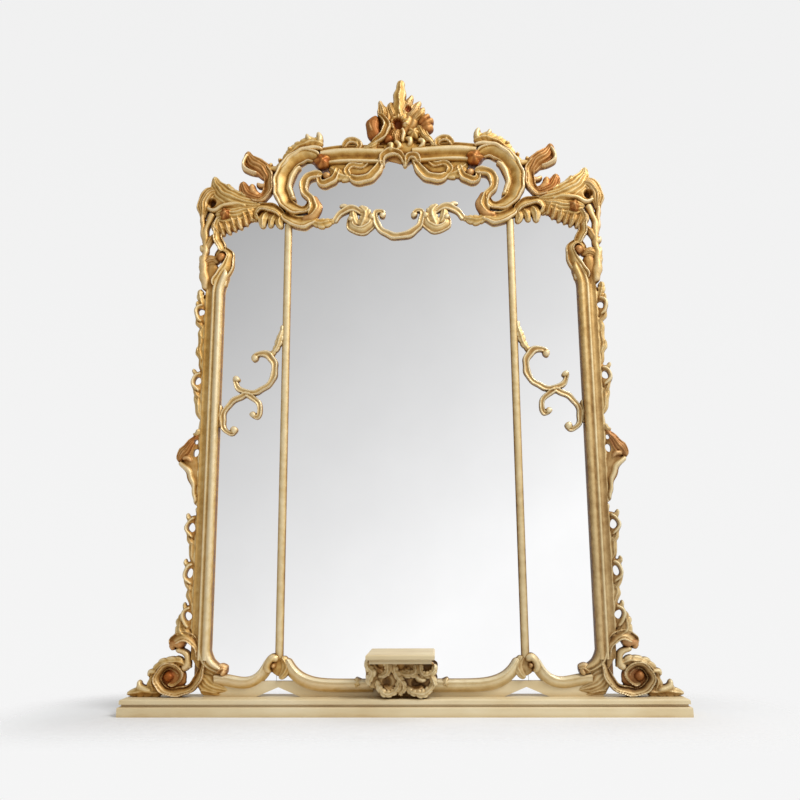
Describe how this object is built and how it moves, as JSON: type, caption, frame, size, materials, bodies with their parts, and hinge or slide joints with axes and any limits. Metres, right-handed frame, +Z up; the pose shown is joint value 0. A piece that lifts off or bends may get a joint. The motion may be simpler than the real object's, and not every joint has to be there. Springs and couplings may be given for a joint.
{
  "type": "overmantel mirror",
  "caption": "Tall overmantel mirror: mirror plates in a carved, gilded scroll and leaf frame with an arched crest, on a moulded plinth with a small bracket shelf.",
  "frame": {"origin": "centre of the plinth's underside", "axes": "+X to the viewer's right, -Y the front with the mirror, +Z up"},
  "size_m": [1.57, 0.16, 1.955],
  "materials": {
    "gilt_wood": "worn gilding over brown bole",
    "cream_wood": "aged cream paint",
    "mirror_glass": "silvered glass",
    "backing_wood": "bare softwood",
    "screw_steel": "dull steel",
    "hanger_brass": "dull brass"
  },
  "bodies": {
    "frame": {"bottom_back_rail": "backing_wood", "bottom_rail": "gilt_wood", "centre_backboard": "backing_wood", "centre_plate": "mirror_glass", "crest_shell": "gilt_wood", "festoon_centre": "gilt_wood", "left_applique": "gilt_wood", "left_arch_rail": "gilt_wood", "left_arch_scroll": "gilt_wood", "left_backboard": "backing_wood", "left_c_scroll": "gilt_wood", "left_corner_leaf": "gilt_wood", "left_divider": "cream_wood", "left_divider_foot": "gilt_wood", "left_festoon_link": "gilt_wood", "left_foot_volute": "gilt_wood", "left_gadroon": "gilt_wood", "left_hanger_strap": "hanger_brass", "left_horn": "gilt_wood", "left_inner_swag": "gilt_wood", "left_lower_border": "gilt_wood", "left_outer_swag": "gilt_wood", "left_plate": "mirror_glass", "left_scroll_crest": "gilt_wood", "left_stile": "gilt_wood", "left_stile_scroll": "gilt_wood", "left_upper_border": "gilt_wood", "middle_back_rail": "backing_wood", "panel_screws": "screw_steel", "plinth_base": "cream_wood", "plinth_cap": "cream_wood", "plinth_neck": "cream_wood", "rail_screws": "screw_steel", "right_applique": "gilt_wood", "right_arch_rail": "gilt_wood", "right_arch_scroll": "gilt_wood", "right_backboard": "backing_wood", "right_c_scroll": "gilt_wood", "right_corner_leaf": "gilt_wood", "right_divider": "cream_wood", "right_divider_foot": "gilt_wood", "right_festoon_link": "gilt_wood", "right_foot_volute": "gilt_wood", "right_gadroon": "gilt_wood", "right_hanger_strap": "hanger_brass", "right_horn": "gilt_wood", "right_inner_swag": "gilt_wood", "right_lower_border": "gilt_wood", "right_outer_swag": "gilt_wood", "right_plate": "mirror_glass", "right_scroll_crest": "gilt_wood", "right_stile": "gilt_wood", "right_stile_scroll": "gilt_wood", "right_upper_border": "gilt_wood", "shelf_board": "cream_wood", "shelf_console": "gilt_wood", "strap_screws": "screw_steel", "top_back_rail": "backing_wood"},
    "left_ring": {"left_ring": "hanger_brass"},
    "right_ring": {"right_ring": "hanger_brass"}
  },
  "joints": [
    {"name": "left_ring_swing", "type": "hinge", "parent": "frame", "child": "left_ring", "pos_m": [-0.42, 0.0426, 1.4862], "axis": [1, 0, 0], "range_deg": [0, 180]},
    {"name": "right_ring_swing", "type": "hinge", "parent": "frame", "child": "right_ring", "pos_m": [0.42, 0.0426, 1.4862], "axis": [1, 0, 0], "range_deg": [0, 180]}
  ]
}
